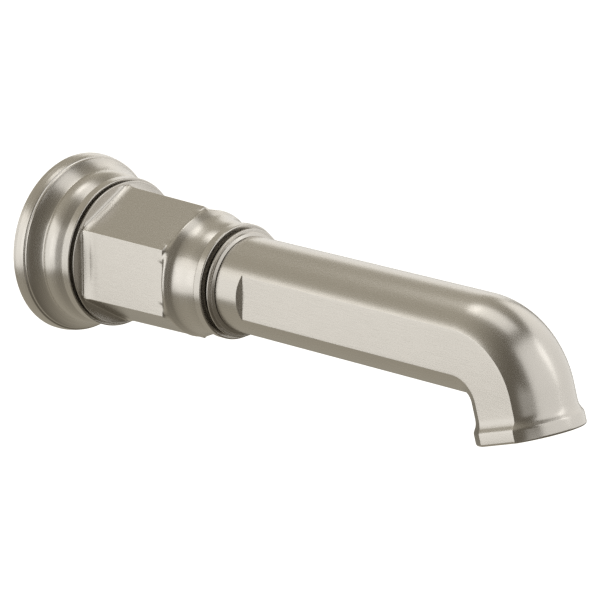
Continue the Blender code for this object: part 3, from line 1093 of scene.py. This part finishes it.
@dataclass(frozen=True)
class Diverter:
    """The seat in the outlet and the pull ring, stem, plug and spring that work on it."""

    bushing: float = 13.0
    seat_top: float = 11.2
    seat_hole: float = 7.0
    ring_radius: float = 10.2
    stem: float = 1.5
    plug: float = 8.6
    spring_radius: float = 3.9
    wire: float = 0.32
    spring_low: float = 8.45
    spring_high: float = 16.75
    turns: float = 6.0

    def spokes(self, inner: float, outer: float, low: float, high: float,
               width: float) -> bmesh.types.BMesh:
        """Three flat bars from a hub to a rim, with rounded long edges.

        Args:
            inner: Where the bars start.
            outer: Where they end.
            low: Their underside.
            high: Their top.
            width: Their width.

        Returns:
            The bars.
        """
        shape = bmesh.new()
        size = Matrix.Diagonal(((outer - inner) * MM, width * MM, (high - low) * MM, 1.0))
        place = Matrix.Translation((0.5 * (inner + outer) * MM, 0.0, 0.5 * (low + high) * MM))
        for i in range(3):
            bmesh.ops.create_cube(
                shape, size=1.0, matrix=Matrix.Rotation(2 * pi * i / 3, 4, "Z") @ place @ size)
        long_edges = [edge for edge in shape.edges if edge.calc_length() > 0.9 * (outer - inner) * MM]
        bmesh.ops.bevel(shape, geom=long_edges, offset=0.25 * MM, affect="EDGES", segments=3,
                        profile=0.5, material=-1)
        return tidy(shape)

    def build_seat(self) -> None:
        """Builds the brass seat and the plastic stem guide in it."""
        frame = Frames.outlet()
        seat = rounded_outline([
            Corner(self.seat_hole, self.seat_top, 0.4), Corner(self.bushing, self.seat_top, 0.3),
            Corner(self.bushing, 10.3, 0.1), Corner(11.9, 10.3, 0.2), Corner(11.9, 8.5, 0.2),
            Corner(self.bushing, 8.5, 0.1), Corner(self.bushing, 1.1, 0.3), Corner(10.6, 1.1, 0.35),
            Corner(10.6, 8.2, 0.3), Corner(self.seat_hole, 8.2, 0.3),
        ])
        fitted("outlet_bushing", moved(turned(seat), frame), BRASS_OUTLET, Body.SPOUT)
        rim = plain_ring(9.0, 10.3, 6.4, 7.9, 0.2, 96)
        guide = worked(rim, self.spokes(2.0, 9.6, 6.4, 7.9, 1.8), "UNION")
        guide = worked(guide, cylinder(3.2, 6.4, 7.9), "UNION")
        guide = worked(guide, cylinder(self.stem + 0.3, 5.0, 9.5, 32), "DIFFERENCE")
        fitted("stem_guide", moved(guide, frame), ACETAL_WHITE, Body.SPOUT)

    def build_moving(self) -> None:
        """Builds the pull ring, stem, plug, washer and nut."""
        frame = Frames.outlet()
        ring = turned(rounded_outline([
            Corner(8.1, 5.4, 0.2), Corner(self.ring_radius, 5.4, 0.25),
            Corner(self.ring_radius, 0.2, 0.45), Corner(8.7, 0.2, 0.4), Corner(8.4, 1.6, 0.5),
            Corner(8.1, 2.4, 0.4),
        ]), 112)
        ring = worked(ring, self.spokes(2.0, 9.0, 3.4, 5.4, 1.6), "UNION")
        ring = worked(ring, cylinder(3.0, 3.4, 5.4), "UNION")
        ring = worked(ring, cylinder(1.2, 2.5, 6.5, 32), "DIFFERENCE")
        fitted("pull_ring", moved(ring, frame), NICKEL_OUTLET, Body.DIVERTER)
        stem = turned(rounded_outline([
            Corner(0.0, 22.0), Corner(1.2, 22.0, 0.3), Corner(1.3, 20.0, 0.1),
            Corner(self.stem, 19.9, 0.05), Corner(self.stem, 5.7, 0.15), Corner(0.9, 5.7, 0.1),
            Corner(0.9, 3.4, 0.3), Corner(0.0, 3.4),
        ]), 48)
        fitted("diverter_stem", moved(stem, frame), STEEL_BRIGHT, Body.DIVERTER)
        plug = rounded_outline([
            Corner(1.8, 17.2, 0.1), Corner(self.plug, 17.2, 0.3), Corner(self.plug, 19.6, 0.7),
            Corner(1.8, 19.6, 0.1),
        ])
        fitted("diverter_plug", moved(turned(plug), frame), BRASS_OUTLET, Body.DIVERTER)
        washer = rounded_outline([
            Corner(5.0, 16.2, 0.2), Corner(self.plug, 16.2, 0.3), Corner(self.plug, 17.0, 0.2),
            Corner(5.0, 17.0, 0.1),
        ])
        fitted("plug_washer", moved(turned(washer), frame), RUBBER_BLACK, Body.DIVERTER)
        nut = worked(cylinder(3.0, 19.9, 21.6, 6), cylinder(1.6, 19.0, 22.5, 32), "DIFFERENCE")
        nut = moved(moved(nut, Matrix.Rotation(radians(15.0), 4, "Z")), frame)
        fitted("plug_nut", nut, STEEL_BRIGHT, Body.DIVERTER)

    def spring_ring(self, place: float) -> list[Vector]:
        """The wire's section at a place along the coil.

        Args:
            place: Turns from the lower end.

        Returns:
            The section's points in the row frame, in metres.
        """
        closed_turn, sides = 0.9, 10
        slope = 0.72
        free = min(1.0, max(0.0, (place - closed_turn) / (self.turns - 2 * closed_turn)))
        settle = slope * (min(place, closed_turn) + max(place - (self.turns - closed_turn), 0.0))
        rise = self.spring_high - self.spring_low - 2 * slope * closed_turn
        height = self.spring_low + settle + rise * free
        angle = 2 * pi * place
        ring = []
        for i in range(sides):
            turn = 2 * pi * i / sides
            radius = self.spring_radius + self.wire * cos(turn)
            ring.append(Frames.outlet() @ (Vector((
                radius * cos(angle), radius * sin(angle), height + self.wire * sin(turn),
            )) * MM))
        return ring

    def build_spring(self) -> None:
        """Builds the return spring at its rest length, though the real one shortens as the ring is pulled
        down.
        """
        steps = 40
        rings = [self.spring_ring(step / steps) for step in range(int(self.turns * steps) + 1)]
        spring = dressed("return_spring", drawn_through(rings, closed=False), STEEL_BRIGHT, 60.0)
        frame, inset = Frames.outlet(), 0.3
        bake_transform(spring)


# --------------------------------------------------------------- kept CAD nodes


KEPT_NODES = {
    "flange_ring_seal": RUBBER_BLACK,
    "adapter_ring_seal_rear": RUBBER_BLACK,
    "adapter_ring_seal_front": RUBBER_BLACK,
    "neck_face_seal": RUBBER_BLACK,
    "outlet_ring_seal": RUBBER_BLACK,
    "arm_nipple": BRASS_TURNED,
}


def dress_kept_nodes(nodes: dict[str, bpy.types.Object]) -> None:
    """Gives the CAD nodes that stay their finishes.

    Args:
        nodes: The frame's nodes by name.
    """
    for name, finish in KEPT_NODES.items():
        node = nodes[name]
        node.data.materials.clear()
        node.data.materials.append(finish.material())
        node.data.shade_smooth()
        LOG.info("%s: kept, %s", name, finish.name)


# -------------------------------------------------------------------- studio


@dataclass(frozen=True)
class SoftBox:
    """A rectangular light, placed by its direction from the spout."""

    name: str
    azimuth: float
    elevation: float
    wide: float
    high: float
    power: float
    distance: float = 1.0

    def build(self, centre: Vector) -> None:
        """Hangs the light, facing the spout.

        Args:
            centre: The point that it faces.
        """
        data = bpy.data.lights.new(self.name, "AREA")
        data.shape = "RECTANGLE"
        data.size, data.size_y, data.energy = self.wide, self.high, self.power
        box = placed(self.name, data)
        azimuth, elevation = radians(self.azimuth), radians(self.elevation)
        way = Vector((cos(azimuth) * cos(elevation), sin(azimuth) * cos(elevation), sin(elevation)))
        box.location = centre + way * self.distance
        box.rotation_euler = way.to_track_quat("Z", "Y").to_euler()


@dataclass(frozen=True)
class Studio:
    """A plain white floor, soft boxes and the camera."""

    centre: tuple[float, float, float] = (0.0191, -0.1, -0.0085)
    azimuth: float = -46.448
    elevation: float = 15.438
    roll: float = 0.107
    distance: float = 1.2933
    focal_length: float = 206.85
    floor_size: float = 40.0
    floor_height: float = -1.6

    def soft_boxes(self) -> list[SoftBox]:
        """The lights, from the left, above and the right."""
        return [
            SoftBox("left_box", 149.0, 5.0, 0.86, 1.04, 2.65),
            SoftBox("left_core", 160.0, 5.0, 0.26, 0.46, 0.13, 0.96),
            SoftBox("top_box", 90.0, 87.0, 0.5, 0.85, 1.15),
            SoftBox("top_core", 90.0, 66.0, 0.26, 0.2, 0.14, 0.96),
            SoftBox("right_box", -18.0, 17.0, 1.9, 1.7, 8.2, 1.2),
            SoftBox("front_box", -85.0, 28.0, 1.55, 1.6, 6.2, 1.3),
            SoftBox("camera_side", -131.0, -10.0, 0.8, 1.3, 1.15, 1.6),
            SoftBox("edge_box", 40.0, 14.0, 0.5, 0.56, 0.72),
        ]

    def build_camera(self) -> None:
        """Places the camera at the viewing angle, with a roll of a tenth of a degree."""
        camera = placed("camera", bpy.data.cameras.new("camera"))
        camera.data.lens = self.focal_length
        camera.data.clip_end = 100.0
        azimuth, elevation = radians(self.azimuth), radians(self.elevation)
        back = Vector((sin(azimuth) * cos(elevation), -cos(azimuth) * cos(elevation), sin(elevation)))
        camera.location = Vector(self.centre) + back * self.distance
        turn = Matrix.Rotation(radians(self.roll), 4, "Z")
        camera.rotation_euler = (back.to_track_quat("Z", "Y").to_matrix().to_4x4() @ turn).to_euler()
        bpy.context.scene.camera = camera

    def build_floor(self) -> None:
        """Lays the pale floor below the spout, out of the metal's reflections."""
        shape = bmesh.new()
        bmesh.ops.create_grid(shape, x_segments=1, y_segments=1, size=self.floor_size)
        mesh = mesh_of(shape, "floor")
        paint = bpy.data.materials.new("white_floor")
        paint.use_nodes = True
        feed(paint.node_tree, paint.node_tree.nodes["Principled BSDF"], {
            "Base Color": (0.95, 0.95, 0.95, 1.0), "Roughness": 0.9,
            "Emission Color": (1.0, 1.0, 1.0, 1.0), "Emission Strength": 1.0,
        })
        mesh.materials.append(paint)
        floor = placed("floor", mesh)
        floor.location = (0.0, 0.0, self.floor_height)
        floor.visible_glossy = False
        floor.visible_diffuse = False

    def build_world(self) -> None:
        """Fills the room with a warm grey: lighter behind the spout, and lightest above it."""
        world = bpy.data.worlds.new("room")
        bpy.context.scene.world = world
        world.use_nodes = True
        tree = world.node_tree
        way = tree.nodes.new("ShaderNodeTexCoord").outputs["Generated"]
        split = wired(tree, "ShaderNodeSeparateXYZ", {"Vector": way})
        height = wired(tree, "ShaderNodeMapRange", {"From Min": -1.0, "Value": split.outputs["Z"]})
        back = wired(tree, "ShaderNodeValToRGB", {"Fac": height.outputs["Result"]})
        ramp = back.color_ramp
        stops = [(0.0, 0.45), (0.2, 0.42), (0.34, 0.24), (0.58, 0.2), (0.74, 0.47)]
        while len(ramp.elements) < len(stops):
            ramp.elements.new(0.5)
        for element, (position, value) in zip(ramp.elements, stops):
            element.position = position
            element.color = (value, value * 0.93, value * 0.78, 1.0)
        ranged = wired(tree, "ShaderNodeMapRange", {
            "From Min": -0.4, "From Max": 0.7, "Value": split.outputs["Y"],
        }, interpolation_type="SMOOTHSTEP")
        mix = wired(tree, "ShaderNodeMix", {
            "A": (0.14, 0.125, 0.1, 1.0), "B": back.outputs["Color"],
            "Factor": ranged.outputs["Result"],
        }, data_type="RGBA")
        feed(tree, tree.nodes["Background"], {"Color": mix.outputs["Result"]})

    def build(self) -> None:
        """Builds the whole studio."""
        self.build_camera()
        self.build_floor()
        self.build_world()
        for box in self.soft_boxes():
            box.build(Vector(self.centre))
        bpy.context.scene.view_settings.view_transform = "Standard"


def main() -> None:
    """Builds the spout on its frame, in its studio."""
    logging.basicConfig(level=logging.INFO, format="%(name)s: %(message)s")
    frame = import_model()
    Frames.read(frame["record"])
    Studio().build()
    WallFlange().build()
    HexBody().build()
    Arm().build()
    Supply().build()
    diverter = Diverter()
    diverter.build_seat()
    diverter.build_moving()
    diverter.build_spring()
    dress_kept_nodes(frame["nodes"])


if __name__ == "__main__":
    main()
